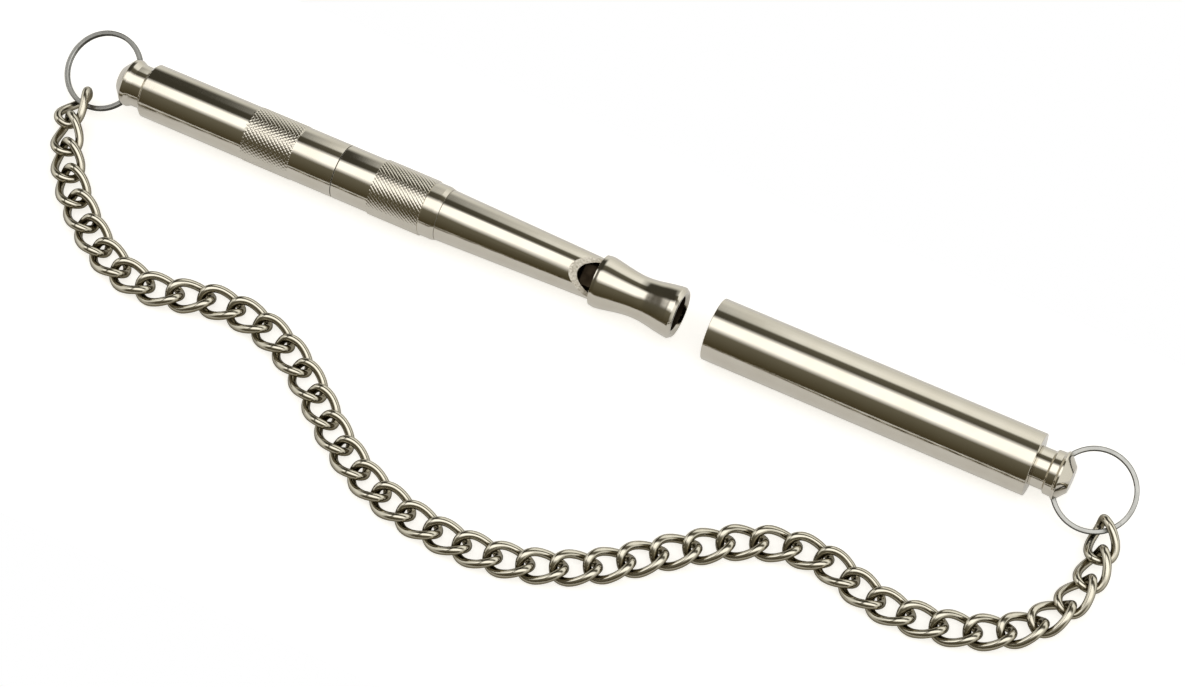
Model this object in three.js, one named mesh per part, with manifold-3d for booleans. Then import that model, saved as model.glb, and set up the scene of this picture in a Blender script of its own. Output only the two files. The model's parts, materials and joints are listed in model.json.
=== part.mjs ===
// A pocket dog whistle with a tuning barrel, a lock nut and a push-on cap on a curb chain.
// Millimetres, +Z up. The X axis is the axis of the whistle and of the cap, which lies in line with it.
// The origin is the middle of the rear finial's flat end, and the chain lies on the -Y side.

import * as THREE from "three";
import { mergeVertices } from "three/addons/utils/BufferGeometryUtils.js";
import loadManifold from "manifold-3d";

// Clearances
const SEAM_GAP = 0.3;
const THREAD_CLEARANCE = 0.3;
const STUD_CLEARANCE = 0.3;
const PISTON_CLEARANCE = 0.2;
const PLUG_CLEARANCE = 0.2;
const CAP_CLEARANCE = 0.15;
const RING_HOLE_CLEARANCE = 0.2;

// Finials, the turned end knobs that hold the rings
const HEAD_DIAMETER = 7.2;
const HEAD_END_DIAMETER = 3.6;
const HEAD_CONE_LENGTH = 1.6;
const HEAD_BAND_LENGTH = 0.5;
const HEAD_FLARE_LENGTH = 1.2;
const NECK_DIAMETER = 5.8;
const REAR_NECK_LENGTH = 0.8;
const CAP_NECK_LENGTH = 1.7;
const STUD_DIAMETER = 3.0;
const REAR_STUD_LENGTH = 2.6;

// Tuning barrel
const BARREL_DIAMETER = 8.0;
const BARREL_LENGTH = 31.5;
const BARREL_EDGE = 0.5;
const BARREL_KNURL_START = 17.2;
const BARREL_KNURL_LENGTH = 7.5;
const BARREL_KNURL_HEIGHT = 0.06;
const BARREL_WEB = 1.0;

// Piston and the rod that carries it
const ROD_DIAMETER = 1.8;
const ROD_SEAT_DEPTH = 2.4;
const ROD_SPIGOT_DIAMETER = 1.2;
const ROD_SPIGOT_LENGTH = 3.0;
const PISTON_LENGTH = 5.0;
const PISTON_SETBACK = 10.0;

// Lock nut
const NUT_DIAMETER = 8.0;
const NUT_LENGTH = 16.2;
const NUT_EDGE = 0.25;
const NUT_KNURL_START = 5.7;
const NUT_KNURL_LENGTH = 8.0;
const NUT_KNURL_HEIGHT = 0.15;

// Whistle tube
const STEM_DIAMETER = 6.0;
const STEM_END_GAP = 2.0;
const TUBE_LENGTH = 23.4;
const TUBE_REAR_DIAMETER = 7.5;
const TUBE_FRONT_DIAMETER = 6.2;
const TUBE_BORE = 4.4;
const TUBE_MOUTH_BORE = 5.0;
const TUBE_MOUTH_BORE_LENGTH = 6.0;
const WINDOW_LENGTH = 3.3;
const WINDOW_FLOOR_HEIGHT = 1.2;
const WINDOW_ROLL = THREE.MathUtils.degToRad(27);

// Mouthpiece and the plug that forms its windway
const MOUTHPIECE_LENGTH = 12.6;
const MOUTHPIECE_REAR_DIAMETER = 7.2;
const MOUTHPIECE_SHOULDER_DIAMETER = 7.6;
const MOUTHPIECE_SHOULDER_AT = 1.3;
const MOUTHPIECE_WAIST_DIAMETER = 6.1;
const MOUTHPIECE_WAIST_AT = 6.4;
const MOUTHPIECE_FLARE_DIAMETER = 7.4;
const MOUTHPIECE_FLARE_SETBACK = 0.7;
const MOUTHPIECE_LIP_DIAMETER = 6.9;
const MOUTH_SINK_DIAMETER = 6.5;
const MOUTH_SINK_DEPTH = 0.5;
const PLUG_LENGTH = 8.4;
const PLUG_NOSE_LENGTH = 2.2;
const WINDWAY_HEIGHT = 0.9;

// Cap
const CAP_GAP = 5.2;
const CAP_LENGTH = 48.0;
const CAP_WALL = 0.25;
const CAP_END_WALL = 1.2;
const CAP_EDGE = 0.2;

// Rings
const RING_DIAMETER = 12.0;
const RING_WIDTH = 0.7;
const RING_THICKNESS = 0.75;
const RING_GROOVE = 0.15;
const RING_ROLL = THREE.MathUtils.degToRad(22);
const RING_DROOP = THREE.MathUtils.degToRad(5);

// Chain
const LINK_COUNT = 44;
const LINK_PITCH = 4.55;
const LINK_WIDTH = 5.2;
const LINK_WIRE = 1.15;
const LINK_PLAY = 0.3;
const RING_PLAY = 0.9;
const LINK_TWIST = THREE.MathUtils.degToRad(90);
const LINK_SQUARENESS = 0.8;
const END_ROLL = THREE.MathUtils.degToRad(40);
const END_ROLL_LINKS = 5;
const REAR_HOOK_ANGLE = THREE.MathUtils.degToRad(-100);
const CAP_HOOK_ANGLE = THREE.MathUtils.degToRad(-58);

// The chain's route, point by point: the share of the way from the rear ring's hook to the cap ring's hook,
// and the distance from the whistle's axis
const ROUTE = [
  [-0.003, 9.0],
  [0.012, 13.2],
  [0.034, 17.6],
  [0.065, 21.9],
  [0.107, 26.2],
  [0.155, 27.5],
  [0.212, 25.2],
  [0.273, 26.3],
  [0.324, 30.8],
  [0.372, 36.8],
  [0.423, 41.3],
  [0.5, 43.8],
  [0.57, 42.9],
  [0.627, 39.1],
  [0.679, 32.6],
  [0.736, 26.3],
  [0.794, 24.0],
  [0.858, 26.8],
  [0.915, 26.4],
  [0.973, 22.9],
  [1.006, 16.5],
  [1.012, 9.0],
];

// Smoothness of the round faces
const ROUND_STEPS = 32;
const SMALL_STEPS = 20;
const PROFILE_STEPS = 14;
const LINK_STEPS = 16;
const LINK_SIDES = 6;
const ROUTE_STEPS = 4000;

// How far the chain's loops may be flattened or deepened to suit its length, and how closely
const SHALLOWEST = 0.5;
const DEEPEST = 2.0;
const DEPTH_ACCURACY = 1e-6;

// Colours
const NICKEL = { color: 0xcfc9b8, roughness: 0.16, metalness: 1.0 };
const NICKEL_CHAIN = { color: 0xbdb7a4, roughness: 0.24, metalness: 1.0 };
const STEEL = { color: 0xb4b4ae, roughness: 0.28, metalness: 1.0 };
const BRASS = { color: 0xb9a05a, roughness: 0.35, metalness: 1.0 };

const wasm = await loadManifold();
wasm.setup();

// Places along the whistle's axis
const headLength = HEAD_CONE_LENGTH + HEAD_BAND_LENGTH + HEAD_FLARE_LENGTH;
const barrelRear = headLength + REAR_NECK_LENGTH + SEAM_GAP;
const barrelFront = barrelRear + BARREL_LENGTH;
const nutRear = barrelFront + SEAM_GAP;
const nutFront = nutRear + NUT_LENGTH;
const tubeRear = nutFront + SEAM_GAP;
const tubeFront = tubeRear + TUBE_LENGTH;
const mouthRear = tubeFront + SEAM_GAP;
const mouthFront = mouthRear + MOUTHPIECE_LENGTH;
const capRear = mouthFront + CAP_GAP;
const capFront = capRear + CAP_LENGTH;
const capFinialEnd = capFront + SEAM_GAP + CAP_NECK_LENGTH + headLength;

// Radii and lengths that fit one piece to another
const barrelBore = STEM_DIAMETER / 2 + THREAD_CLEARANCE;
const studHole = STUD_DIAMETER / 2 + STUD_CLEARANCE;
const studSocketEnd = barrelRear + REAR_STUD_LENGTH + STUD_CLEARANCE;
const rodSocketEnd = studSocketEnd + BARREL_WEB;
const barrelFloor = rodSocketEnd + ROD_SEAT_DEPTH;
const stemRear = barrelFloor + STEM_END_GAP;
const rodSocket = ROD_DIAMETER / 2 + STUD_CLEARANCE;
const pistonRadius = TUBE_BORE / 2 - PISTON_CLEARANCE;
const plugRadius = TUBE_BORE / 2 - PLUG_CLEARANCE;
const mouthBore = plugRadius + PLUG_CLEARANCE;
const pistonFront = tubeFront - WINDOW_LENGTH - PISTON_SETBACK;
const pistonRear = pistonFront - PISTON_LENGTH;
const capBore = NUT_DIAMETER / 2 + NUT_KNURL_HEIGHT + CAP_CLEARANCE;
const capRadius = capBore + CAP_WALL;
const floorLevel = -capRadius;

// The ring threads the middle of the head's cross hole. The hole takes the ring's bend and its thickness.
const ringOuter = RING_DIAMETER / 2;
const ringInner = ringOuter - RING_WIDTH;
const holeReach = HEAD_DIAMETER / 2 - HEAD_BAND_LENGTH;
const ringNear = Math.sqrt(ringInner ** 2 - holeReach ** 2);
const ringSeat = (ringNear + ringOuter) / 2;
const ringHole = Math.hypot((ringOuter - ringNear) / 2, RING_THICKNESS / 2) + RING_HOLE_CLEARANCE;
const holeSetback = HEAD_CONE_LENGTH + HEAD_BAND_LENGTH / 2;
const hookRadius = ringInner - RING_PLAY + LINK_PLAY / 2;

// Turns a closed geometry into a solid whose faces point outwards.
function toSolid(geometry) {
  const bare = geometry.clone();
  bare.deleteAttribute("normal");
  bare.deleteAttribute("uv");
  const merged = mergeVertices(bare);
  const index = merged.index.array;
  const place = merged.attributes.position;
  const corners = [new THREE.Vector3(), new THREE.Vector3(), new THREE.Vector3()];
  const triangles = [];
  let volume = 0;
  for (let i = 0; i < index.length; i += 3) {
    const [a, b, c] = [index[i], index[i + 1], index[i + 2]];
    if (a === b || b === c || c === a) continue;
    triangles.push([a, b, c]);
    corners.forEach((corner, k) => corner.fromBufferAttribute(place, index[i + k]));
    volume += corners[0].dot(corners[1].cross(corners[2]));
  }
  const facing = volume > 0 ? triangles : triangles.map(([a, b, c]) => [a, c, b]);
  const mesh = new wasm.Mesh({
    numProp: 3,
    vertProperties: new Float32Array(place.array),
    triVerts: new Uint32Array(facing.flat()),
  });
  return new wasm.Manifold(mesh);
}

function toGeometry(solid) {
  const mesh = solid.getMesh();
  const geometry = new THREE.BufferGeometry();
  geometry.setAttribute("position", new THREE.BufferAttribute(mesh.vertProperties, 3));
  geometry.setIndex(new THREE.BufferAttribute(mesh.triVerts, 1));
  geometry.computeVertexNormals();
  return geometry;
}

// Turns a profile of [place along X, radius] pairs round the X axis.
function turned(profile, steps = ROUND_STEPS) {
  const points = profile.map(([x, radius]) => new THREE.Vector2(radius, x));
  const geometry = new THREE.LatheGeometry(points, steps);
  return geometry.rotateZ(-Math.PI / 2);
}

// A turned piece with a hole through it: the profile closes on itself.
function turnedRing(profile, steps = ROUND_STEPS) {
  return turned([...profile, profile[0]], steps);
}

function piece(name, solid, finish) {
  const mesh = new THREE.Mesh(toGeometry(solid), new THREE.MeshStandardMaterial(finish));
  mesh.name = name;
  return mesh;
}

function makeBarrel() {
  const radius = BARREL_DIAMETER / 2;
  const knurlRear = barrelRear + BARREL_KNURL_START;
  const knurlFront = knurlRear + BARREL_KNURL_LENGTH;
  const profile = [
    [studSocketEnd, 0],
    [studSocketEnd, studHole],
    [barrelRear, studHole],
    [barrelRear, radius - BARREL_EDGE],
    [barrelRear + BARREL_EDGE, radius],
    [knurlRear, radius],
    [knurlRear, radius + BARREL_KNURL_HEIGHT],
    [knurlFront, radius + BARREL_KNURL_HEIGHT],
    [knurlFront, radius],
    [barrelFront, radius],
    [barrelFront, barrelBore],
    [barrelFloor, barrelBore],
    [barrelFloor, rodSocket],
    [rodSocketEnd, rodSocket],
    [rodSocketEnd, 0],
  ];
  return piece("tuning_barrel", toSolid(turned(profile)), NICKEL);
}

function makeRod() {
  const rear = rodSocketEnd + STUD_CLEARANCE;
  const shoulder = pistonRear - SEAM_GAP;
  const front = shoulder + SEAM_GAP + ROD_SPIGOT_LENGTH;
  const profile = [
    [rear, 0],
    [rear, ROD_DIAMETER / 2],
    [shoulder, ROD_DIAMETER / 2],
    [shoulder, ROD_SPIGOT_DIAMETER / 2],
    [front, ROD_SPIGOT_DIAMETER / 2],
    [front, 0],
  ];
  return piece("piston_rod", toSolid(turned(profile, SMALL_STEPS)), BRASS);
}

function makePiston() {
  const hole = ROD_SPIGOT_DIAMETER / 2 + STUD_CLEARANCE;
  const holeEnd = pistonRear + ROD_SPIGOT_LENGTH + STUD_CLEARANCE;
  const profile = [
    [holeEnd, 0],
    [holeEnd, hole],
    [pistonRear, hole],
    [pistonRear, pistonRadius],
    [pistonFront, pistonRadius],
    [pistonFront, 0],
  ];
  return piece("piston", toSolid(turned(profile, SMALL_STEPS)), BRASS);
}

function makeLockNut() {
  const radius = NUT_DIAMETER / 2;
  const knurlRear = nutRear + NUT_KNURL_START;
  const knurlFront = knurlRear + NUT_KNURL_LENGTH;
  const profile = [
    [nutRear, barrelBore],
    [nutRear, radius],
    [knurlRear, radius],
    [knurlRear, radius + NUT_KNURL_HEIGHT],
    [knurlFront, radius + NUT_KNURL_HEIGHT],
    [knurlFront, radius],
    [nutFront - NUT_EDGE, radius],
    [nutFront, radius - NUT_EDGE],
    [nutFront, barrelBore],
  ];
  return piece("lock_nut", toSolid(turnedRing(profile)), NICKEL);
}

// The window is a slanted cut from the tube's skin down to its floor at the mouthpiece.
function windowCut() {
  const skin = TUBE_REAR_DIAMETER / 2;
  const outline = new THREE.Shape();
  const slope = (TUBE_FRONT_DIAMETER / 2 - WINDOW_FLOOR_HEIGHT) / WINDOW_LENGTH;
  outline.moveTo(tubeFront + SEAM_GAP, WINDOW_FLOOR_HEIGHT);
  outline.lineTo(tubeFront, WINDOW_FLOOR_HEIGHT);
  outline.lineTo(tubeFront - (skin - WINDOW_FLOOR_HEIGHT) / slope, skin);
  outline.lineTo(tubeFront + SEAM_GAP, skin);
  outline.closePath();
  const cutter = new THREE.ExtrudeGeometry(outline, { depth: 2 * skin, bevelEnabled: false, steps: 1 });
  cutter.translate(0, 0, -skin);
  cutter.rotateX(Math.PI / 2 + WINDOW_ROLL);
  return toSolid(cutter);
}

function makeTube() {
  const profile = [
    [stemRear, TUBE_BORE / 2],
    [stemRear, STEM_DIAMETER / 2],
    [tubeRear, STEM_DIAMETER / 2],
    [tubeRear, TUBE_REAR_DIAMETER / 2],
    [tubeFront, TUBE_FRONT_DIAMETER / 2],
    [tubeFront, TUBE_MOUTH_BORE / 2],
    [tubeFront - TUBE_MOUTH_BORE_LENGTH, TUBE_MOUTH_BORE / 2],
    [tubeFront - TUBE_MOUTH_BORE_LENGTH, TUBE_BORE / 2],
  ];
  return piece("whistle_tube", toSolid(turnedRing(profile)).subtract(windowCut()), NICKEL);
}

function makeMouthpiece() {
  const outline = new THREE.SplineCurve([
    new THREE.Vector2(mouthRear, MOUTHPIECE_REAR_DIAMETER / 2),
    new THREE.Vector2(mouthRear + MOUTHPIECE_SHOULDER_AT, MOUTHPIECE_SHOULDER_DIAMETER / 2),
    new THREE.Vector2(mouthRear + MOUTHPIECE_WAIST_AT, MOUTHPIECE_WAIST_DIAMETER / 2),
    new THREE.Vector2(mouthFront - MOUTHPIECE_FLARE_SETBACK, MOUTHPIECE_FLARE_DIAMETER / 2),
    new THREE.Vector2(mouthFront, MOUTHPIECE_LIP_DIAMETER / 2),
  ]);
  const profile = [
    [mouthRear, mouthBore],
    ...outline.getPoints(PROFILE_STEPS).map((point) => [point.x, point.y]),
    [mouthFront, MOUTH_SINK_DIAMETER / 2],
    [mouthFront - MOUTH_SINK_DEPTH, mouthBore],
  ];
  return piece("mouthpiece", toSolid(turnedRing(profile)), NICKEL);
}

// A round plug with a flat on the window's side, which leaves the windway open above it.
function makePlug() {
  const flat = mouthBore - WINDWAY_HEIGHT;
  const half = Math.acos(flat / plugRadius);
  const section = new THREE.Shape();
  section.absarc(0, 0, plugRadius, half, 2 * Math.PI - half, false);
  section.closePath();
  const plug = new THREE.ExtrudeGeometry(section, {
    depth: PLUG_LENGTH,
    bevelEnabled: false,
    curveSegments: SMALL_STEPS,
    steps: 1,
  });
  plug.rotateY(-Math.PI / 2);
  plug.rotateX(WINDOW_ROLL);
  plug.translate(mouthRear - PLUG_NOSE_LENGTH + PLUG_LENGTH, 0, 0);
  return piece("windway_plug", toSolid(plug), BRASS);
}

function makeCapTube() {
  const end = capFront - CAP_END_WALL;
  const profile = [
    [capRear, capBore],
    [capRear, capRadius],
    [capFront - CAP_EDGE, capRadius],
    [capFront, capRadius - CAP_EDGE],
    [capFront, studHole],
    [end, studHole],
    [end, capBore],
  ];
  return piece("cap_tube", toSolid(turnedRing(profile)), NICKEL);
}

// A finial from its flat end at the origin, along +X, with its ring's cross hole along Y.
function makeFinial(name, neckLength, studLength) {
  const band = HEAD_CONE_LENGTH + HEAD_BAND_LENGTH;
  const neck = headLength + neckLength;
  const profile = [
    [0, 0],
    [0, HEAD_END_DIAMETER / 2],
    [HEAD_CONE_LENGTH, HEAD_DIAMETER / 2],
    [band, HEAD_DIAMETER / 2],
    [headLength, NECK_DIAMETER / 2],
    [neck, NECK_DIAMETER / 2],
    [neck, STUD_DIAMETER / 2],
    [neck + studLength, STUD_DIAMETER / 2],
    [neck + studLength, 0],
  ];
  const hole = new THREE.CylinderGeometry(ringHole, ringHole, 2 * HEAD_DIAMETER, SMALL_STEPS);
  hole.translate(holeSetback, 0, 0);
  return piece(name, toSolid(turned(profile)).subtract(toSolid(hole)), NICKEL);
}

// A ring of two turns of flat wire pressed together, with the seam between them, round the Z axis.
function makeRing(name) {
  const half = RING_THICKNESS / 2;
  const section = [
    [-half, ringInner],
    [-half, ringOuter],
    [-RING_GROOVE / 2, ringOuter],
    [0, ringOuter - RING_GROOVE],
    [RING_GROOVE / 2, ringOuter],
    [half, ringOuter],
    [half, ringInner],
  ];
  return piece(name, toSolid(turnedRing(section).rotateY(-Math.PI / 2)), STEEL);
}

// A finial with its ring: side is -1 at the rear end and +1 at the cap's end.
function makeEnd(finial, ring, endPlace, side) {
  const end = new THREE.Group();
  end.position.x = endPlace;
  end.rotation.x = RING_ROLL;
  finial.rotation.y = side > 0 ? Math.PI : 0;
  const sling = new THREE.Group();
  sling.position.x = -side * holeSetback;
  sling.rotation.y = side * RING_DROOP;
  ring.position.x = side * ringSeat;
  sling.add(ring);
  end.add(finial, sling);
  end.updateMatrixWorld(true);
  return end;
}

// The point where the chain hooks on a ring.
function hookOn(ring, angle) {
  const hook = new THREE.Vector3(hookRadius * Math.cos(angle), hookRadius * Math.sin(angle), 0);
  return ring.localToWorld(hook);
}

// The middle line of a curb link: an oval, twisted end to end so that equal links lie flat in line.
class CurbLoop extends THREE.Curve {
  getPoint(t, target = new THREE.Vector3()) {
    const angle = 2 * Math.PI * t;
    const along = Math.sign(Math.cos(angle)) * Math.abs(Math.cos(angle)) ** LINK_SQUARENESS;
    const across = Math.sign(Math.sin(angle)) * Math.abs(Math.sin(angle)) ** LINK_SQUARENESS;
    const halfLength = (LINK_PITCH + LINK_WIRE + LINK_PLAY) / 2;
    const halfWidth = (LINK_WIDTH - LINK_WIRE) / 2;
    const twist = (-LINK_TWIST / 2) * along;
    return target.set(
      halfLength * along,
      halfWidth * across * Math.cos(twist),
      halfWidth * across * Math.sin(twist),
    );
  }
}

// A round wire along a closed curve.
function closedTube(curve, radius, steps, sides) {
  const frames = curve.computeFrenetFrames(steps, true);
  const places = [];
  const index = [];
  for (let i = 0; i < steps; i += 1) {
    const middle = curve.getPointAt(i / steps);
    for (let j = 0; j < sides; j += 1) {
      const angle = (2 * Math.PI * j) / sides;
      const place = middle.clone();
      place.addScaledVector(frames.normals[i], radius * Math.cos(angle));
      place.addScaledVector(frames.binormals[i], radius * Math.sin(angle));
      places.push(...place.toArray());
      const next = (i + 1) % steps;
      const side = (j + 1) % sides;
      index.push(i * sides + j, next * sides + j, next * sides + side);
      index.push(i * sides + j, next * sides + side, i * sides + side);
    }
  }
  const geometry = new THREE.BufferGeometry();
  geometry.setAttribute("position", new THREE.Float32BufferAttribute(places, 3));
  geometry.setIndex(index);
  return geometry;
}

// The links nearest a ring are rolled on edge to take it, less and less away from it.
function linkRoll(number) {
  const fromRear = (number - 1) / END_ROLL_LINKS;
  const fromCap = (LINK_COUNT - number) / END_ROLL_LINKS;
  return END_ROLL * (Math.max(0, 1 - fromRear) - Math.max(0, 1 - fromCap));
}

// Half the height that a link takes when it is rolled.
function linkHalfHeight(loop, roll) {
  const heights = loop.getPoints(LINK_STEPS * LINK_SIDES).map((point) => {
    return Math.abs(point.y * Math.sin(roll) + point.z * Math.cos(roll));
  });
  return Math.max(...heights) + LINK_WIRE / 2;
}

// The route for one depth of the chain's loops, between the two hooks, seen from above.
function routeBetween(rearHook, capHook, depth) {
  const span = capHook.x - rearHook.x;
  const points = ROUTE.map(([share, away]) => new THREE.Vector3(rearHook.x + share * span, -away * depth, 0));
  const start = new THREE.Vector3(rearHook.x, rearHook.y, 0);
  const end = new THREE.Vector3(capHook.x, capHook.y, 0);
  const route = new THREE.CatmullRomCurve3([start, ...points, end]);
  route.arcLengthDivisions = ROUTE_STEPS;
  return route;
}

// The loops are as deep as the chain's length needs.
function fittedRoute(rearHook, capHook) {
  let shallow = SHALLOWEST;
  let deep = DEEPEST;
  while (deep - shallow > DEPTH_ACCURACY) {
    const depth = (shallow + deep) / 2;
    const length = routeBetween(rearHook, capHook, depth).getLength();
    if (length < LINK_COUNT * LINK_PITCH) shallow = depth;
    else deep = depth;
  }
  return routeBetween(rearHook, capHook, deep);
}

function makeChain(rearHook, capHook) {
  const loop = new CurbLoop();
  const wire = toSolid(closedTube(loop, LINK_WIRE / 2, LINK_STEPS, LINK_SIDES));
  const numbers = Array.from({ length: LINK_COUNT }, (_, i) => i + 1);
  const heights = numbers.map((number) => linkHalfHeight(loop, linkRoll(number)));
  const joints = fittedRoute(rearHook, capHook).getSpacedPoints(LINK_COUNT);
  joints.forEach((joint, i) => {
    joint.z = floorLevel + Math.max(heights[Math.max(i - 1, 0)], heights[Math.min(i, LINK_COUNT - 1)]);
  });
  joints[0].z = rearHook.z;
  joints[LINK_COUNT].z = capHook.z;
  const up = new THREE.Vector3(0, 0, 1);
  return numbers.map((number) => {
    const from = joints[number - 1];
    const to = joints[number];
    const along = to.clone().sub(from).normalize();
    const across = up.clone().cross(along).normalize();
    const upright = along.clone().cross(across);
    const link = piece(`chain_link_${String(number).padStart(2, "0")}`, wire, NICKEL_CHAIN);
    link.position.copy(from).add(to).multiplyScalar(0.5);
    link.quaternion.setFromRotationMatrix(new THREE.Matrix4().makeBasis(along, across, upright));
    link.rotateX(linkRoll(number));
    return link;
  });
}

const rearFinial = makeFinial("rear_finial", REAR_NECK_LENGTH, REAR_STUD_LENGTH);
const capFinial = makeFinial("cap_finial", CAP_NECK_LENGTH, CAP_END_WALL);
const rearRing = makeRing("rear_ring");
const capRing = makeRing("cap_ring");

const whistle = new THREE.Group();
whistle.add(makeBarrel(), makeRod(), makePiston(), makeLockNut(), makeTube(), makeMouthpiece(), makePlug());
whistle.add(makeCapTube());
whistle.add(makeEnd(rearFinial, rearRing, 0, -1));
whistle.add(makeEnd(capFinial, capRing, capFinialEnd, 1));
whistle.add(...makeChain(hookOn(rearRing, REAR_HOOK_ANGLE), hookOn(capRing, CAP_HOOK_ANGLE)));

export default whistle;
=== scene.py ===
# A pocket dog whistle with its cap, curb chain and split rings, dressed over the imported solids.
# Lengths are in millimetres unless a comment says metres, and MM turns them into metres.
import json
import math

import bpy
import numpy as np
from mathutils import Matrix, Vector


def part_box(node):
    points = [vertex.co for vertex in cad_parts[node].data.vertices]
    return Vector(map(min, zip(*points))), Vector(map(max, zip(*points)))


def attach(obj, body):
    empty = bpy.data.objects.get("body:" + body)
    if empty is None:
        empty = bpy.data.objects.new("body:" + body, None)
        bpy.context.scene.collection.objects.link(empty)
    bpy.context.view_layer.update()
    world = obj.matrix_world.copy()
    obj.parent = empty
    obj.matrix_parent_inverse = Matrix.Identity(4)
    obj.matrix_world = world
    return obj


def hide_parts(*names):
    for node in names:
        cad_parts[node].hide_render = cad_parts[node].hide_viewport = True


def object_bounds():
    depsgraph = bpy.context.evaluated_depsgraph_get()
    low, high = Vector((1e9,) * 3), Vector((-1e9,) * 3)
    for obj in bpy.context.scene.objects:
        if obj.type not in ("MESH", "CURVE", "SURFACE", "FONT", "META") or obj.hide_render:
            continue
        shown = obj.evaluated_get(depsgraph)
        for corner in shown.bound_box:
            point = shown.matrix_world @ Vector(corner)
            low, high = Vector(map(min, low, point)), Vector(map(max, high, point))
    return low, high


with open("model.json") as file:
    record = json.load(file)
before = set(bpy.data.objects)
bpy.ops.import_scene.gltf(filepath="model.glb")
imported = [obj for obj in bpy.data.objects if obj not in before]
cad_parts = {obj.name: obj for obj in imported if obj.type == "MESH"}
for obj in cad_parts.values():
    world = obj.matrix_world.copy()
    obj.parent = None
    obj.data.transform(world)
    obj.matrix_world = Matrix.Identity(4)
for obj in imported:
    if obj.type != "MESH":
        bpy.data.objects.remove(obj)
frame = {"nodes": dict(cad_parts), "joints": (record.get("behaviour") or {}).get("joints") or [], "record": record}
cad_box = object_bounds()
scene = bpy.context.scene
MM = 0.001
FULL_TURN = 2 * math.pi
TINY = 1e-6

# Camera, fitted to the photograph
AZIMUTH = math.radians(26.3)
ELEVATION = math.radians(60.0)
DISTANCE = 480.1
AIM = Vector((80.2, -9.55, 0.0))
LENS = 105.9
SENSOR_WIDTH = 36.0
CLIP_START = 10.0

# White sheet under the object, with its glow as the camera sees it and as the metal mirrors it
FLOOR_MARGIN = 20.0
FLOOR_COLOR = (0.55, 0.558, 0.59)
FLOOR_ROUGHNESS = 0.9
FLOOR_GLOW = (1, 0.97, 0.9)
FLOOR_GLOW_SEEN = 0.76
FLOOR_GLOW_MIRRORED = 0.33

# Studio colours by the angle about the whistle's axis, in degrees: 0 overhead, positive towards the camera
WHITE = (1.0, 1.0, 1.0)
BACKDROP = (0.86, 0.85, 0.79)
SOFTBOX = (1.72, 1.70, 1.64)
SOFTBOX_EDGE = (0.85, 0.83, 0.80)
DIMMED_SOFTBOX = (0.14, 0.13, 0.11)
NEAR_SIDE = (0.075, 0.06, 0.03)
DARK_BACKDROP = [(-95, BACKDROP), (-86, (0.7, 0.69, 0.64)), (-78, (0.3, 0.29, 0.26)),
                 (-70, (0.062, 0.058, 0.044))]
STUDIO_FRONT = [(-95, BACKDROP), (-62, (1.2, 1.19, 1.12)), (-47, (1.12, 1.11, 1.04)),
                (-40, (0.15, 0.14, 0.10)), (-20, (0.10, 0.09, 0.065)), (-12, (0.9, 0.89, 0.87)),
                (-7, SOFTBOX), (25, SOFTBOX), (33, SOFTBOX_EDGE), (41, (0.17, 0.155, 0.11)), (92, NEAR_SIDE)]
STUDIO_REAR = [*DARK_BACKDROP, (-18, (0.055, 0.05, 0.036)), (-11, (0.8, 0.79, 0.77)), (-6, SOFTBOX),
               (21, SOFTBOX), (29, SOFTBOX_EDGE), (37, (0.18, 0.165, 0.12)), (92, NEAR_SIDE)]
STUDIO_FLAG = [*DARK_BACKDROP, (-18, (0.062, 0.056, 0.04)), (-7, DIMMED_SOFTBOX), (25, DIMMED_SOFTBOX),
               (41, (0.12, 0.11, 0.08)), (92, NEAR_SIDE)]
# The X of the directions between which the studio's rear takes over, and its short flag begins and ends
REAR_START = (-0.2, -0.36)
FLAG_START = (-0.42, -0.5)
FLAG_END = (-0.58, -0.65)
# Pale walls close the studio's two ends, between these two sizes of X
END_WALL = (0.95, 0.94, 0.88)
END_WALL_START = 0.74
END_WALL_FULL = 0.9

# Metal: worn patches and tool marks, both from noise
STAIN_DETAIL = 6
STAIN_RANGE = (0.3, 0.7)
MARK_DETAIL = 3
MARK_HEIGHT = 0.02
# Painted shade on upright sides, by the normal's Z, and painted shade in inside corners, by how much of the space
# is open
PAINTED_SHADE_SLOPE_RANGE = (0.15, 0.8)
PAINTED_CORNER_SHADE_REACH = 1.2
PAINTED_CORNER_SHADE_RANGE = (0.25, 0.85)
PAINTED_CORNER_SHADE_SAMPLES = 8
# A face belongs to a bore where its normal points at the axis at least this closely
BORE_FACING = 0.8

# Turned shapes: segments in a turn and in an edge, and how much of a stretch its edge may take
TURN_STEPS = 128
EDGE_STEPS = 5
EDGE_SHARE = 0.45
SHARP_ANGLE = math.radians(32)
SMALL_EDGE = 0.08
FINE_EDGE = 0.03

# Seams: barrel and nut reach into the gap between their solids, and other pieces stop short of each other
SEAM_REACH = 0.1
SEAM_EDGE = 0.06
SEAM_GAP = 0.02

# Knurled bands: grooves around the barrel or the nut, and samples from one groove to the next
BARREL_KNURL_GROOVES = 44
BARREL_CROSS_SHARE = 1.0
NUT_KNURL_GROOVES = 46
NUT_CROSS_SHARE = 0.35
KNURL_SAMPLES = 10
KNURL_DEPTH = 0.045
KNURL_GROOVE = 0.22
KNURL_SLANT = math.tan(math.radians(38))
KNURL_SIDE = 0.05
KNURL_MARGIN = 0.25

# Barrel, with the floors of its holes measured from its rear end
BARREL_EDGE = 0.5
STUD_HOLE_FLOOR = 2.9
ROD_HOLE_RADIUS = 1.2
ROD_HOLE_FLOOR = 3.9
BARREL_FLOOR = 6.3

# Lock nut's front edge, a soft taper
NUT_TAPER_LENGTH = 0.6
NUT_TAPER_DEPTH = 0.17
NUT_TAPER_EDGE = 0.6

# Stem thread
THREAD_PITCH = 0.75
THREAD_DEPTH = 0.35
THREAD_SAMPLES = 10
THREAD_STEPS = 64

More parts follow.
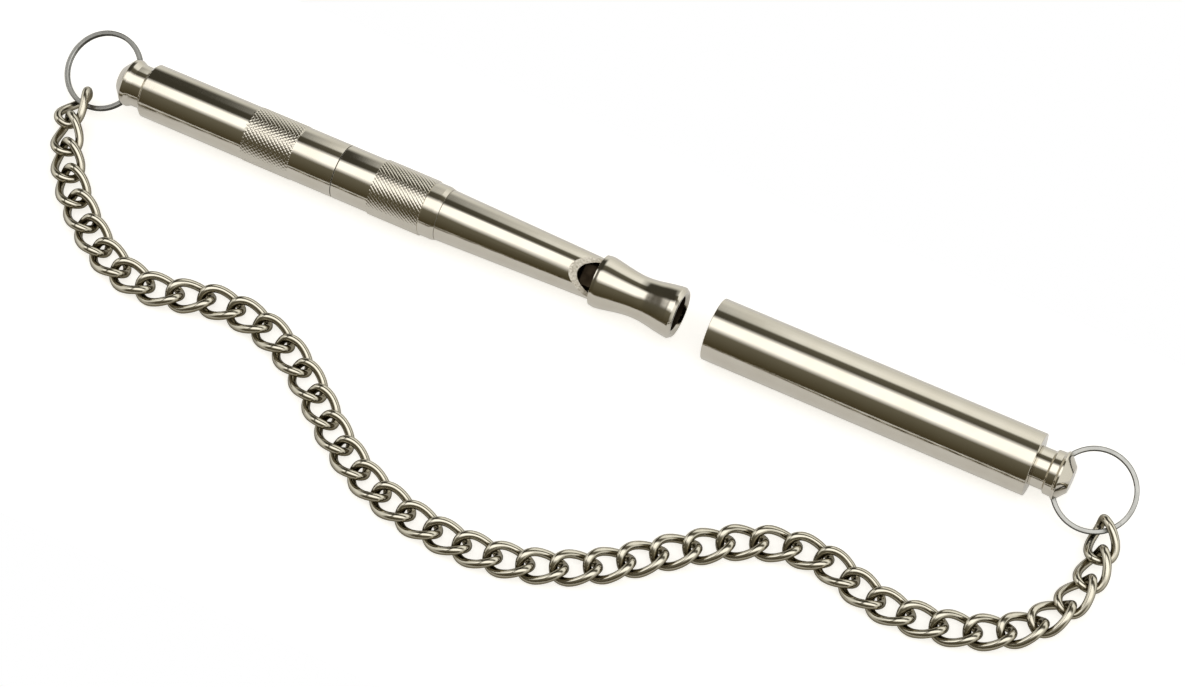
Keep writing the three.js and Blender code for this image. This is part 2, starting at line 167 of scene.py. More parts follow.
# Whistle tube, with the wider bore at its front end
TUBE_REAR_RADIUS = 3.8
TUBE_MOUTH_RADIUS = 2.55
TUBE_MOUTH_LENGTH = 6.0
TUBE_FRONT_GAP = 0.05

# Window: a flat floor at a height over the axis, on a cutter that reaches out past the tube's skin
WINDOW_FLOOR = 1.2
WINDOW_LENGTH = 3.3
WINDOW_ROLL = math.radians(27)
WINDOW_REACH = 5.0
WINDOW_OVERLAP = 0.5

# Mouthpiece: places and radii of its waist from the rear end, and of its lip, with edges, from the front end
MOUTHPIECE_REAR_RADIUS = 3.6
WAIST = [(0.08, 3.74), (1.2, 3.81), (3.7, 3.36), (5.6, 3.1), (7.2, 3.09), (8.6, 3.27), (10.0, 3.53)]
WAIST_STEPS = 10
LIP_START = (-1.2, 3.74)
LIP = [(-0.55, 3.8, 0.3), (0, 3.4, 0.2), (0, 3.15, 0.08), (-0.4, 2.6, 0.08), (-3.0, 2.6, 0)]
LIP_END = -3.1

# Cap
CAP_END_WALL = 1.2
CAP_INNER_EDGE = 0.05
CAP_MOUTH_EDGE = 0.1
CAP_END_EDGE = 0.12

# End knobs: corners from the flat end inwards, as place, radius and edge, and the neck that follows them
REAR_KNOB = [(0, 1.9, 0.2), (1.4, 3.5, 0.25), (2.0, 3.5, 0.25), (2.7, 3.15, 0.3)]
REAR_NECK_RADIUS = 3.1
CAP_KNOB = [(0, 1.9, 0.2), (1.4, 3.55, 0.12), (1.65, 3.55, 0.08), (1.95, 3.25, 0.15), (3.0, 3.2, 0.1),
            (3.25, 2.85, 0.1)]
CAP_NECK_RADIUS = 2.85
STUD_RADIUS = 1.5
STUD_LENGTH = 0.92

# Chain link: a twisted oval of round wire
LINK_PITCH = 4.55
LINK_WIDTH = 5.2
LINK_WIRE = 1.22
LINK_PLAY = 0.3
LINK_HALF_LENGTH = (LINK_PITCH + LINK_WIRE + LINK_PLAY) / 2
LINK_HALF_WIDTH = (LINK_WIDTH - LINK_WIRE) / 2
LINK_TWIST = math.radians(90)
LINK_SQUARENESS = 0.8
LINK_STEPS = 72
LINK_SIDES = 16

# Split ring: two turns of flat wire, less a short gap, that cross from one level to the other
RING_START = math.radians(30)
RING_END = math.radians(690)
RING_CROSSING_START = math.radians(330)
RING_CROSSING_END = math.radians(390)
RING_STEPS = 220
RING_SEAM = 0.05
RING_HOLE_RADIUS = 0.46
RING_HOLE_SIDES = 16


# What the frame's solids say


def span(node):
    """Where a node begins and ends along the whistle's axis."""
    low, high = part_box(node)
    return low.x / MM, high.x / MM


def points_of(node):
    return np.array([v.co for v in frame["nodes"][node].data.vertices]) / MM


def radii_at(node, place, width=0.06):
    """The smallest and the largest radius of a node's vertices near a place on the axis."""
    points = points_of(node)
    near = points[np.abs(points[:, 0] - place) < width]
    radii = np.hypot(near[:, 1], near[:, 2])
    return float(radii.min()), float(radii.max())


def raised_band(node, radius, proud=0.01):
    """Where the part of a node that stands proud of a radius begins and ends along the axis."""
    points = points_of(node)
    places = points[np.hypot(points[:, 1], points[:, 2]) > radius + proud, 0]
    return float(places.min()), float(places.max())


# Shader nodes


def new_material(name):
    material = bpy.data.materials.new(name)
    material.use_nodes = True
    tree = material.node_tree
    return material, tree, tree.nodes["Principled BSDF"]


def feed(tree, value, socket):
    """Puts a number, a colour or another node's output into a socket."""
    if isinstance(value, bpy.types.NodeSocket):
        tree.links.new(value, socket)
    elif isinstance(value, tuple):
        socket.default_value = (*value, 1)
    else:
        socket.default_value = value


def math_node(tree, operation, *values):
    node = tree.nodes.new("ShaderNodeMath")
    node.operation = operation
    for value, socket in zip(values, node.inputs):
        feed(tree, value, socket)
    return node.outputs[0]


def spread(tree, value, low, high, new_low=0.0, new_high=1.0):
    """The value's range from low to high, spread from new_low to new_high."""
    node = tree.nodes.new("ShaderNodeMapRange")
    limits = {"Value": value, "From Min": low, "From Max": high, "To Min": new_low, "To Max": new_high}
    for key, limit in limits.items():
        feed(tree, limit, node.inputs[key])
    return node.outputs["Result"]


def mix_colors(tree, share, first, second):
    """A mix of two colours. The mix node's other sockets of the same names are for numbers and vectors."""
    node = tree.nodes.new("ShaderNodeMix")
    node.data_type = "RGBA"
    feed(tree, share, node.inputs["Factor"])
    color_inputs = [socket for socket in node.inputs if socket.type == "RGBA"]
    for color, socket in zip((first, second), color_inputs):
        feed(tree, color, socket)
    return next(socket for socket in node.outputs if socket.type == "RGBA")


def stretched_noise(tree, stretch, scale, detail):
    """Noise in the object's own space, drawn out by a different share along each axis."""
    place = tree.nodes.new("ShaderNodeTexCoord")
    mapping = tree.nodes.new("ShaderNodeMapping")
    mapping.inputs["Scale"].default_value = stretch
    feed(tree, place.outputs["Object"], mapping.inputs["Vector"])
    noise = tree.nodes.new("ShaderNodeTexNoise")
    feed(tree, mapping.outputs["Vector"], noise.inputs["Vector"])
    feed(tree, scale, noise.inputs["Scale"])
    feed(tree, detail, noise.inputs["Detail"])
    return noise.outputs["Fac"]


# Metals


def share_clear_of_painted_shade(tree):
    """1 on open surfaces that face up, falling to 0 on upright sides and in inside corners, where shade is
    painted.
    """
    shape = tree.nodes.new("ShaderNodeNewGeometry")
    parts = tree.nodes.new("ShaderNodeSeparateXYZ")
    feed(tree, shape.outputs["Normal"], parts.inputs["Vector"])
    painted_top_light = spread(tree, parts.outputs["Z"], *PAINTED_SHADE_SLOPE_RANGE)
    corner = tree.nodes.new("ShaderNodeAmbientOcclusion")
    corner.samples = PAINTED_CORNER_SHADE_SAMPLES
    feed(tree, PAINTED_CORNER_SHADE_REACH * MM, corner.inputs["Distance"])
    painted_corner_light = spread(tree, corner.outputs["AO"], *PAINTED_CORNER_SHADE_RANGE)
    return math_node(tree, "MULTIPLY", painted_top_light, painted_corner_light)


def metal(name, color, dull, roughness, marks, stretch, mark_scale, stain_scale, shaded_flank=None, rim=1.0):
    """A metal with fine tool marks, and with dull patches where the plate has worn.
    flank is the colour of painted shade on upright sides and in inside corners, and rim dims the glint at grazing
    angles."""
    material, tree, shader = new_material(name)
    stains = stretched_noise(tree, (1, 1, 1), stain_scale, STAIN_DETAIL)
    lines = stretched_noise(tree, stretch, mark_scale, MARK_DETAIL)
    tint = mix_colors(tree, spread(tree, stains, *STAIN_RANGE), color, dull)
    if shaded_flank:
        # Painted shade: the flank colour on upright sides and in inside corners
        tint = mix_colors(tree, share_clear_of_painted_shade(tree), shaded_flank, tint)
    bump = tree.nodes.new("ShaderNodeBump")
    feed(tree, lines, bump.inputs["Height"])
    feed(tree, marks, bump.inputs["Strength"])
    feed(tree, MARK_HEIGHT * MM, bump.inputs["Distance"])
    feed(tree, tint, shader.inputs["Base Color"])
    feed(tree, 1.0, shader.inputs["Metallic"])
    feed(tree, spread(tree, stains, *STAIN_RANGE, *roughness), shader.inputs["Roughness"])
    feed(tree, (rim, rim, rim), shader.inputs["Specular Tint"])
    feed(tree, bump.outputs["Normal"], shader.inputs["Normal"])
    return material


NICKEL = metal("polished_nickel", color=(0.67, 0.635, 0.56), dull=(0.63, 0.59, 0.51), roughness=(0.07, 0.12),
               marks=0.08, stretch=(1, 0.03, 0.03), mark_scale=9000, stain_scale=260)
# The chain's and the ring's flank colours are painted shade on upright sides and in inside corners
CHAIN_NICKEL = metal("tumbled_nickel_painted_shade", color=(0.67, 0.635, 0.54), dull=(0.57, 0.535, 0.445),
                     roughness=(0.10, 0.2), marks=0.15, stretch=(1, 1, 1), mark_scale=2600, stain_scale=500,
                     shaded_flank=(0.23, 0.20, 0.13), rim=0.45)
RING_STEEL = metal("drawn_steel_painted_shade", color=(0.42, 0.42, 0.405), dull=(0.34, 0.34, 0.325), roughness=(0.2, 0.32),
                   marks=0.15, stretch=(1, 1, 0.1), mark_scale=4000, stain_scale=400,
                   shaded_flank=(0.09, 0.09, 0.085), rim=0.35)
MILLED = metal("milled_brass", color=(0.86, 0.82, 0.74), dull=(0.50, 0.46, 0.38), roughness=(0.42, 0.6),
               marks=0.9, stretch=(1, 1, 1), mark_scale=3200, stain_scale=4200)
BRASS = metal("turned_brass", color=(0.62, 0.49, 0.26), dull=(0.48, 0.37, 0.18), roughness=(0.25, 0.4),
              marks=0.3, stretch=(1, 0.05, 0.05), mark_scale=6000, stain_scale=500)
# Near-black bore colour: painted shade inside holes and bores
BORE_SHADE = metal("bore_painted_shade", color=(0.06, 0.045, 0.03), dull=(0.035, 0.025, 0.016), roughness=(0.5, 0.7),
             marks=0.4, stretch=(1, 0.05, 0.05), mark_scale=5000, stain_scale=700)


# Meshes and pieces


def rounded(corners, closed):
    """A profile of (place, radius, edge) corners with each edge rounded to its size."""
    points = []
    for i, (place, radius, edge) in enumerate(corners):
        here = Vector((place, radius))
        ends_here = not closed and i in (0, len(corners) - 1)
        if edge == 0 or ends_here:
            points.append(here)
            continue
        to_last = Vector(corners[i - 1][:2]) - here
        to_next = Vector(corners[(i + 1) % len(corners)][:2]) - here
        half = to_last.angle(to_next) / 2
        reach = min(edge / math.tan(half), EDGE_SHARE * to_last.length, EDGE_SHARE * to_next.length)
        size = reach * math.tan(half)
        bisector = (to_last.normalized() + to_next.normalized()).normalized()
        middle = here + bisector * (size / math.sin(half))
        first = here + to_last.normalized() * reach - middle
        last = here + to_next.normalized() * reach - middle
        for k in range(EDGE_STEPS + 1):
            arm = first.lerp(last, k / EDGE_STEPS).normalized()
            points.append(middle + arm * size)
    return points


def spline(points, count):
    """Points on a smooth curve through the given (place, radius) points, count from each one to the next."""
    given = np.array(points)
    padded = np.vstack([2 * given[0] - given[1], given, 2 * given[-1] - given[-2]])
    curve = []
    for before, start, end, after in zip(padded, padded[1:], padded[2:], padded[3:]):
        square = 2 * before - 5 * start + 4 * end - after
        cube = 3 * start - before - 3 * end + after
        for t in np.arange(count) / count:
            curve.append(tuple(0.5 * (2 * start + (end - before) * t + square * t ** 2 + cube * t ** 3)))
    curve.append(tuple(given[-1]))
    return curve


def steps_between(start, end, step):
    return np.linspace(start, end, round((end - start) / step) + 1)


def bands_between(rows, closed):
    """Faces between neighbouring rows of vertex numbers. A row of one vertex is a pole."""
    faces = []
    pairs = list(zip(rows, rows[1:]))
    if closed:
        pairs.append((rows[-1], rows[0]))
    for low, high in pairs:
        count = max(len(low), len(high))
        for j in range(count):
            k = (j + 1) % count
            face = [low[j % len(low)], low[k % len(low)], high[k % len(high)], high[j % len(high)]]
            face = list(dict.fromkeys(face))
            if len(face) > 2:
                faces.append(face)
    return faces


def build_mesh(name, places, faces, material):
    """A closed mesh of places in metres, with its faces turned outwards."""
    mesh = bpy.data.meshes.new(name)
    mesh.from_pydata([tuple(p) for p in places], [], faces)
    mesh.validate()
    mesh.materials.append(material)
    mesh.shade_smooth()
    mesh.set_sharp_from_angle(angle=SHARP_ANGLE)
    mesh.calc_loop_triangles()
    volume = 0.0
    for triangle in mesh.loop_triangles:
        a, b, c = (mesh.vertices[i].co for i in triangle.vertices)
        volume += a.dot(b.cross(c))
    if volume < 0:
        mesh.flip_normals()
    return mesh


def lathe(name, profile, closed, material, steps=TURN_STEPS, relief=None):
    """Turns a profile of (place, radius) pairs round the X axis.
    relief says how far (place, angles) stands proud, wherever the profile has its largest radius."""
    angles = np.arange(steps) * FULL_TURN / steps
    crest = max(radius for place, radius in profile)
    places = []
    rows = []
    for place, radius in profile:
        first = len(places)
        if radius < TINY:
            places.append((place * MM, 0.0, 0.0))
            rows.append([first])
            continue
        around = np.full(steps, radius)
        if relief and radius >= crest - TINY:
            around += relief(place, angles)
        ring = [np.full(steps, place), -around * np.sin(angles), around * np.cos(angles)]
        places.extend(np.column_stack(ring) * MM)
        rows.append(list(range(first, first + steps)))
    return build_mesh(name, places, bands_between(rows, closed), material)


def paint_bore_shade(mesh):
    """Gives the faces that look at the axis the bore's near-black colour, painted shade inside the bores."""
    mesh.materials.append(BORE_SHADE)
    number = len(mesh.materials) - 1
    for face in mesh.polygons:
        outward = face.normal.y * face.center.y + face.normal.z * face.center.z
        if outward < -BORE_FACING * face.center.yz.length:
            face.material_index = number


def put(name, mesh, body, node, place=Matrix()):
    """Shows a mesh at a place as a piece that rides on a body and stands for a CAD node."""
    obj = bpy.data.objects.new(name, mesh)
    scene.collection.objects.link(obj)
    obj.matrix_world = place
    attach(obj, body)
    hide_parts(node)
    return obj


def cut(obj, cutter_mesh):
    """Cuts a closed mesh out of a piece. The new faces keep the cutter's material."""
    cutter = bpy.data.objects.new("cutter", cutter_mesh)
    scene.collection.objects.link(cutter)
    modifier = obj.modifiers.new("cut", "BOOLEAN")
    modifier.operation = "DIFFERENCE"
    modifier.solver = "EXACT"
    modifier.material_mode = "TRANSFER"
    modifier.object = cutter
    bpy.context.view_layer.update()
    done = obj.evaluated_get(bpy.context.evaluated_depsgraph_get())
    mesh = bpy.data.meshes.new_from_object(done)
    obj.modifiers.clear()
    obj.data = mesh
    mesh.set_sharp_from_angle(angle=SHARP_ANGLE)
    bpy.data.objects.remove(cutter)


# Barrel and lock nut


def groove(turns):
    """1 along whole numbers, falling to 0 at the groove's side."""
    off = np.abs(turns - np.round(turns))
    return np.clip(1 - off / KNURL_GROOVE, 0, 1)


def knurled_band(node, radius, grooves, cross_share):
    """The start and end of a node's raised band, the band's profile, and the relief of its crossing grooves.
    The second family of grooves is shallower by its share."""
    start, end = raised_band(node, radius)
    crest = radii_at(node, start)[1]
    pitch = FULL_TURN * radius / grooves
    def relief(place, angles):
        turns = angles * grooves / FULL_TURN
        along = (place - start) * KNURL_SLANT / pitch
        return -KNURL_DEPTH * np.maximum(groove(turns - along), cross_share * groove(turns + along))
    step = pitch / KNURL_SLANT / KNURL_SAMPLES
    band = [(place, crest) for place in steps_between(start, end, step)]
    return start, end, [(start - KNURL_SIDE, radius), *band, (end + KNURL_SIDE, radius)], relief


def make_barrel():
    rear, front = span("tuning_barrel")
    bore, radius = radii_at("tuning_barrel", front)
    stud_hole = radii_at("tuning_barrel", rear)[0]
    start, end, band, relief = knurled_band("tuning_barrel", radius, BARREL_KNURL_GROOVES,
                                            BARREL_CROSS_SHARE)
    head = rounded([(rear + STUD_HOLE_FLOOR, 0, 0), (rear + STUD_HOLE_FLOOR, stud_hole, 0),
                    (rear, stud_hole, 0), (rear, radius - BARREL_EDGE, SMALL_EDGE),
                    (rear + BARREL_EDGE, radius, SMALL_EDGE), (start - KNURL_MARGIN, radius, 0)], False)
    tail = rounded([(end + KNURL_MARGIN, radius, 0), (front + SEAM_REACH, radius, SEAM_EDGE),
                    (front + SEAM_REACH, bore, 0), (rear + BARREL_FLOOR, bore, 0),
                    (rear + BARREL_FLOOR, ROD_HOLE_RADIUS, 0), (rear + ROD_HOLE_FLOOR, ROD_HOLE_RADIUS, 0),
                    (rear + ROD_HOLE_FLOOR, 0, 0)], False)
    steps = BARREL_KNURL_GROOVES * KNURL_SAMPLES
    mesh = lathe("barrel", head + band + tail, False, NICKEL, steps, relief)
    paint_bore_shade(mesh)
    put("barrel", mesh, "barrel", "tuning_barrel")


def make_nut():
    rear, front = span("lock_nut")
    bore, radius = radii_at("lock_nut", rear)
    start, end, band, relief = knurled_band("lock_nut", radius, NUT_KNURL_GROOVES, NUT_CROSS_SHARE)
    head = rounded([(rear - SEAM_REACH, bore, 0), (rear - SEAM_REACH, radius, SEAM_EDGE),
                    (start - KNURL_MARGIN, radius, 0)], False)
    tail = rounded([(end + KNURL_MARGIN, radius, 0), (front - NUT_TAPER_LENGTH, radius, NUT_TAPER_EDGE),
                    (front, radius - NUT_TAPER_DEPTH, FINE_EDGE), (front, bore, 0)], False)
    steps = NUT_KNURL_GROOVES * KNURL_SAMPLES
    mesh = lathe("lock_nut", head + band + tail, True, NICKEL, steps, relief)
    paint_bore_shade(mesh)
    put("lock_nut_turned", mesh, "lock_nut", "lock_nut")


# Whistle tube


def triangle_wave(turns):
    """0 at whole numbers, 1 half way between them."""
    return 1 - np.abs(2 * (turns - np.floor(turns)) - 1)


def thread_relief(place, angles):
    return THREAD_DEPTH * (triangle_wave(place / THREAD_PITCH + angles / FULL_TURN) - 1)


def make_stem():
    rear = span("whistle_tube")[0]
    front = span("lock_nut")[1]
    bore, radius = radii_at("whistle_tube", rear)
    thread = [(place, radius) for place in steps_between(rear, front, THREAD_PITCH / THREAD_SAMPLES)]
    profile = [(rear, bore), *thread, (front, bore)]
    mesh = lathe("stem", profile, True, NICKEL, THREAD_STEPS, thread_relief)
    paint_bore_shade(mesh)
    put("threaded_stem", mesh, "whistle", "whistle_tube")


def window_cutter(tube_front, tube_radius):
    """A wedge that slants from the tube's skin down to the window's floor at the mouthpiece."""
    slope = (tube_radius - WINDOW_FLOOR) / WINDOW_LENGTH
    wedge_rear = tube_front - (WINDOW_REACH - WINDOW_FLOOR) / slope
    wedge_front = tube_front + WINDOW_OVERLAP
    outline = [(wedge_front, WINDOW_FLOOR), (tube_front, WINDOW_FLOOR), (wedge_rear, WINDOW_REACH),
               (wedge_front, WINDOW_REACH)]
    turn = Matrix.Rotation(WINDOW_ROLL, 3, "X")
    places = []
    for side in (-WINDOW_REACH, WINDOW_REACH):
        for place, height in outline:
            places.append(turn @ Vector((place, side, height)) * MM)
    count = len(outline)
    faces = [tuple(range(count)), tuple(reversed(range(count, 2 * count)))]
    for i in range(count):
        j = (i + 1) % count
        faces.append((i, i + count, j + count, j))
    return build_mesh("window_cutter", places, faces, MILLED)


def make_tube():
    rear = span("lock_nut")[1] + SEAM_GAP
    front = span("mouthpiece")[0] - TUBE_FRONT_GAP
    solid_rear, solid_front = span("whistle_tube")
    bore = radii_at("whistle_tube", solid_rear)[0]
    front_radius = radii_at("whistle_tube", solid_front)[1]
    step = front - TUBE_MOUTH_LENGTH
    profile = rounded([(rear, bore, 0), (rear, TUBE_REAR_RADIUS, SMALL_EDGE),
                       (front, front_radius, FINE_EDGE), (front, TUBE_MOUTH_RADIUS, 0),
                       (step, TUBE_MOUTH_RADIUS, 0), (step, bore, 0)], True)
    mesh = lathe("tube", profile, True, NICKEL)
    paint_bore_shade(mesh)
    obj = put("tube", mesh, "whistle", "whistle_tube")
    cut(obj, window_cutter(solid_front, front_radius))


# Mouthpiece


def make_mouthpiece():
    rear, front = span("mouthpiece")
    bore = radii_at("mouthpiece", rear)[0]
    lip_start = (front + LIP_START[0], LIP_START[1])
    waist = spline([(rear + place, radius) for place, radius in WAIST] + [lip_start], WAIST_STEPS)
    lip_corners = [(front + place, radius, edge) for place, radius, edge in LIP]
    lip = rounded([(*lip_start, 0), *lip_corners, (front + LIP_END, bore, 0)], False)
    profile = [(rear, bore), (rear, MOUTHPIECE_REAR_RADIUS)] + waist + lip[1:]
    mesh = lathe("mouthpiece", profile, True, NICKEL)
    paint_bore_shade(mesh)
    put("mouthpiece_turned", mesh, "whistle", "mouthpiece")


# Cap


def make_cap():
    rear, front = span("cap_tube")
    bore, radius = radii_at("cap_tube", rear)
    stud_hole = radii_at("cap_tube", front)[0]
    floor = front - CAP_END_WALL
    profile = rounded([(rear, bore, CAP_INNER_EDGE), (rear, radius, CAP_MOUTH_EDGE),
                       (front, radius, CAP_END_EDGE), (front, stud_hole, 0), (floor, stud_hole, 0),
                       (floor, bore, 0)], True)
    mesh = lathe("cap", profile, True, NICKEL)
    paint_bore_shade(mesh)
    put("cap_turned", mesh, "cap", "cap_tube")


# Rings


def ring_axis(ring):
    """The middle of a ring, in metres, and its axis, as its joint gives them."""
    joint = next(j for j in frame["joints"] if j["child"] == ring)
    return Vector(joint["pos_m"]), Vector(joint["axis"]).normalized()


def ring_sizes(ring):
    """The inner and outer radius and the half thickness of a ring's solid, in metres."""
    centre, axis = ring_axis(ring)
    arms = np.array([v.co - centre for v in frame["nodes"][ring].data.vertices])
    levels = arms @ np.array(axis)
    reaches = np.linalg.norm(arms - np.outer(levels, axis), axis=1)
    return reaches.min(), reaches.max(), levels.max()


def sweep_ring(ring, section, angles, heights):
    """Sweeps a section of (reach, rise) points round a ring's axis, through the angles at the heights."""
    centre, axis = ring_axis(ring)
    side = (Vector((1, 0, 0)) - axis * axis.x).normalized()
    third = axis.cross(side)
    places = []
    rows = []
    for angle, height in zip(angles, heights):
        arm = side * math.cos(angle) + third * math.sin(angle)
        rows.append(list(range(len(places), len(places) + len(section))))
        for reach, rise in section:
            places.append(centre + arm * reach + axis * (rise + height))
    return places, rows


def ring_hole(ring):
    """A full round torus where a ring can pass as it turns."""
    inner, outer, level = ring_sizes(ring)
    middle = (inner + outer) / 2
    radius = RING_HOLE_RADIUS * MM
    turns = np.arange(RING_HOLE_SIDES) * FULL_TURN / RING_HOLE_SIDES
    section = [(middle + radius * math.cos(t), radius * math.sin(t)) for t in turns]
    angles = np.arange(RING_STEPS) * FULL_TURN / RING_STEPS
    places, rows = sweep_ring(ring, section, angles, np.zeros(RING_STEPS))
    return build_mesh("ring_hole", places, bands_between(rows, True), NICKEL)


def make_ring(ring):
    """A split ring where its solid lies: two turns of flat wire on two levels."""
    inner, outer, level = ring_sizes(ring)
    half_wire = (level - RING_SEAM * MM / 2) / 2
    middle = level - half_wire
    section = rounded([(inner, -half_wire, half_wire), (outer, -half_wire, half_wire),
                       (outer, half_wire, half_wire), (inner, half_wire, half_wire)], True)
    angles = np.linspace(RING_START, RING_END, RING_STEPS + 1)
    share = np.clip((angles - RING_CROSSING_START) / (RING_CROSSING_END - RING_CROSSING_START), 0, 1)
    eased = share * share * (3 - 2 * share)
    places, rows = sweep_ring(ring, section, angles, middle * (2 * eased - 1))
    faces = bands_between(rows, False)
    faces.append(rows[0][::-1])
    faces.append(rows[-1])
    mesh = build_mesh(ring, places, faces, RING_STEEL)
    put(ring + "_wire", mesh, ring, ring)


# Finials


def make_finial(name, ring, end, seat, knob, neck_radius, body):
    """A turned knob from its flat end to its seat on a tube, with the cross hole for its ring."""
    inward = math.copysign(1, seat - end)
    neck_end = abs(seat - end) - SEAM_GAP
    stud_end = neck_end + STUD_LENGTH
    outline = [(0, 0, 0), *knob, (neck_end, neck_radius, FINE_EDGE), (neck_end, STUD_RADIUS, 0),
               (stud_end, STUD_RADIUS, 0), (stud_end, 0, 0)]
    profile = [(end + inward * place, radius) for place, radius in rounded(outline, False)]
    mesh = lathe(name, profile, False, NICKEL)
    obj = put(name + "_turned", mesh, body, name)
    cut(obj, ring_hole(ring))


def make_finials():
    rear_end = span("rear_finial")[0]
    rear_seat = span("tuning_barrel")[0]
    make_finial("rear_finial", "rear_ring", rear_end, rear_seat, REAR_KNOB, REAR_NECK_RADIUS, "barrel")
    cap_end = span("cap_finial")[1]
    cap_seat = span("cap_tube")[1]
    make_finial("cap_finial", "cap_ring", cap_end, cap_seat, CAP_KNOB, CAP_NECK_RADIUS, "cap")


# Chain


def link_mesh():
    """One curb link round its own middle, along X."""
    turns = np.arange(LINK_STEPS) * FULL_TURN / LINK_STEPS
    along = np.sign(np.cos(turns)) * np.abs(np.cos(turns)) ** LINK_SQUARENESS
    across = np.sign(np.sin(turns)) * np.abs(np.sin(turns)) ** LINK_SQUARENESS
    twist = -LINK_TWIST / 2 * along
    line = np.column_stack([LINK_HALF_LENGTH * along, LINK_HALF_WIDTH * across * np.cos(twist),
                            LINK_HALF_WIDTH * across * np.sin(twist)])
    ahead = np.roll(line, -1, axis=0) - np.roll(line, 1, axis=0)
    ahead /= np.linalg.norm(ahead, axis=1)[:, None]
    outward = line - (line * ahead).sum(axis=1)[:, None] * ahead
    outward /= np.linalg.norm(outward, axis=1)[:, None]
    sideways = np.cross(ahead, outward)
    places = []
    rows = []
    for point, out, side in zip(line, outward, sideways):
        rows.append(list(range(len(places), len(places) + LINK_SIDES)))
        for k in range(LINK_SIDES):
            angle = FULL_TURN * k / LINK_SIDES
            arm = out * math.cos(angle) + side * math.sin(angle)
            places.append((point + arm * LINK_WIRE / 2) * MM)
    return build_mesh("curb_link", places, bands_between(rows, True), CHAIN_NICKEL)


def link_place(node):
    """A link's solid is the same after half a turn about each of its own axes, so its middle is its box's
    middle, and its axes are the directions in which its vertices spread most, less and least."""
    points = np.array([v.co for v in frame["nodes"][node].data.vertices])
    low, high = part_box(node)
    middle = (low + high) / 2
    axes = np.linalg.eigh(np.cov((points - np.array(middle)).T))[1]
    along = Vector(axes[:, 2])
    across = Vector(axes[:, 1])
    turn = Matrix((along, across, along.cross(across))).transposed()
    return Matrix.Translation(middle) @ turn.to_4x4()


def make_chain():
    mesh = link_mesh()
    for body, nodes in frame["record"]["behaviour"]["bodies"].items():
        if not body.startswith("chain"):
            continue
        for node in nodes:
            put(node.replace("chain", "curb"), mesh, body, node, link_place(node))


# Inner solids that are kept as they are


def paint_inner_solids():
    # The windway plug inside takes the near-black bore colour, painted shade
    for node, material in (("piston", BRASS), ("piston_rod", BRASS), ("windway_plug", BORE_SHADE)):
        solid = frame["nodes"][node].data
        solid.materials.clear()
        solid.materials.append(material)


# Floor, studio and camera


def floor_material():
    """A pale sheet that glows for the camera and, less, in reflections, and lights nothing else."""
    material, tree, shader = new_material("pale_floor")
    path = tree.nodes.new("ShaderNodeLightPath")
    seen = math_node(tree, "MULTIPLY", path.outputs["Is Camera Ray"], FLOOR_GLOW_SEEN)
    mirrored = math_node(tree, "ADD", path.outputs["Is Glossy Ray"], path.outputs["Is Transmission Ray"])
    glow = math_node(tree, "MULTIPLY_ADD", mirrored, FLOOR_GLOW_MIRRORED, seen)
    feed(tree, FLOOR_COLOR, shader.inputs["Base Color"])
    feed(tree, FLOOR_ROUGHNESS, shader.inputs["Roughness"])
    feed(tree, 0.0, shader.inputs["Specular IOR Level"])
    feed(tree, FLOOR_GLOW, shader.inputs["Emission Color"])
    feed(tree, glow, shader.inputs["Emission Strength"])
    return material


def make_floor():
    low, high = cad_box
    margin = FLOOR_MARGIN * MM
    rear = low.x - margin
    front = high.x + margin
    near = low.y - margin
    far = high.y + margin
    places = [(rear, near, low.z), (front, near, low.z), (front, far, low.z), (rear, far, low.z)]
    mesh = bpy.data.meshes.new("floor")
    mesh.from_pydata(places, [], [(0, 1, 2, 3)])
    mesh.materials.append(floor_material())
    floor = bpy.data.objects.new("floor", mesh)
    scene.collection.objects.link(floor)


def studio_ramp(tree, fraction, stops):
    ramp = tree.nodes.new("ShaderNodeValToRGB")
    elements = ramp.color_ramp.elements
    while len(elements) < len(stops):
        elements.new(0.5)
    for element, (angle, color) in zip(elements, stops):
        element.position = (angle + 180) / 360
        element.color = (*color, 1)
    feed(tree, fraction, ramp.inputs["Fac"])
    return ramp.outputs["Color"]


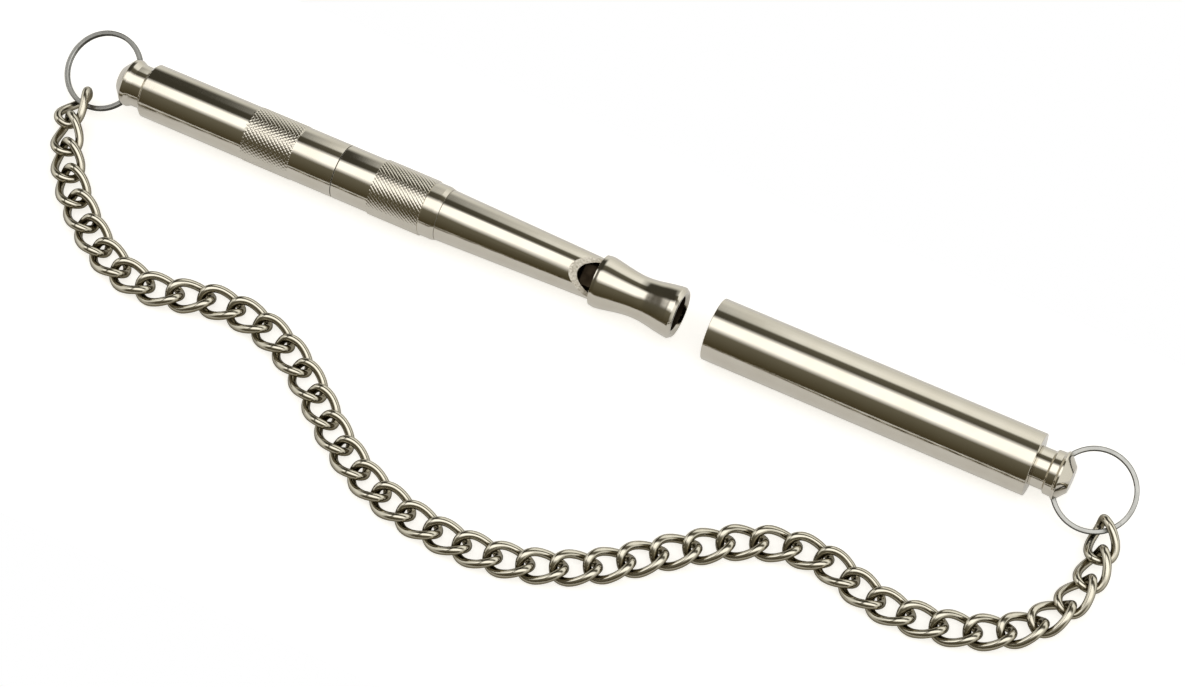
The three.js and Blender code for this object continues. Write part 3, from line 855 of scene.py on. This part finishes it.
def make_studio():
    """One softbox hangs overhead between dark flags, with a pale backdrop behind the object.
    Camera rays, and rays through glass, see plain white instead."""
    world = bpy.data.worlds.new("studio")
    scene.world = world
    world.use_nodes = True
    tree = world.node_tree
    direction = tree.nodes.new("ShaderNodeTexCoord")
    parts = tree.nodes.new("ShaderNodeSeparateXYZ")
    feed(tree, direction.outputs["Generated"], parts.inputs["Vector"])
    x, y, z = parts.outputs
    toward = math_node(tree, "MULTIPLY", y, -1.0)
    angle = math_node(tree, "ARCTAN2", toward, z)
    fraction = spread(tree, angle, -math.pi, math.pi)
    front = studio_ramp(tree, fraction, STUDIO_FRONT)
    rear = studio_ramp(tree, fraction, STUDIO_REAR)
    flag = studio_ramp(tree, fraction, STUDIO_FLAG)
    bands = mix_colors(tree, spread(tree, x, *REAR_START), front, rear)
    begun = spread(tree, x, *FLAG_START)
    left = spread(tree, x, *FLAG_END, 1.0, 0.0)
    flagged = mix_colors(tree, math_node(tree, "MULTIPLY", begun, left), bands, flag)
    front_end = spread(tree, x, END_WALL_START, END_WALL_FULL)
    rear_end = spread(tree, x, -END_WALL_START, -END_WALL_FULL)
    studio = mix_colors(tree, math_node(tree, "MAXIMUM", front_end, rear_end), flagged, END_WALL)
    path = tree.nodes.new("ShaderNodeLightPath")
    plain = math_node(tree, "MAXIMUM", path.outputs["Is Camera Ray"], path.outputs["Is Transmission Ray"])
    feed(tree, mix_colors(tree, plain, studio, WHITE), tree.nodes["Background"].inputs["Color"])


def make_camera():
    camera = bpy.data.objects.new("camera", bpy.data.cameras.new("camera"))
    scene.collection.objects.link(camera)
    camera.data.lens = LENS
    camera.data.sensor_width = SENSOR_WIDTH
    camera.data.clip_start = CLIP_START * MM
    back = Vector((math.sin(AZIMUTH) * math.cos(ELEVATION), -math.cos(AZIMUTH) * math.cos(ELEVATION),
                   math.sin(ELEVATION)))
    camera.location = AIM * MM + back * (DISTANCE * MM)
    camera.rotation_euler = (-back).to_track_quat("-Z", "Y").to_euler()
    scene.camera = camera


make_barrel()
make_nut()
make_stem()
make_tube()
make_mouthpiece()
make_cap()
make_finials()
make_ring("rear_ring")
make_ring("cap_ring")
make_chain()
paint_inner_solids()
make_floor()
make_studio()
make_camera()
scene.view_settings.view_transform = "Standard"
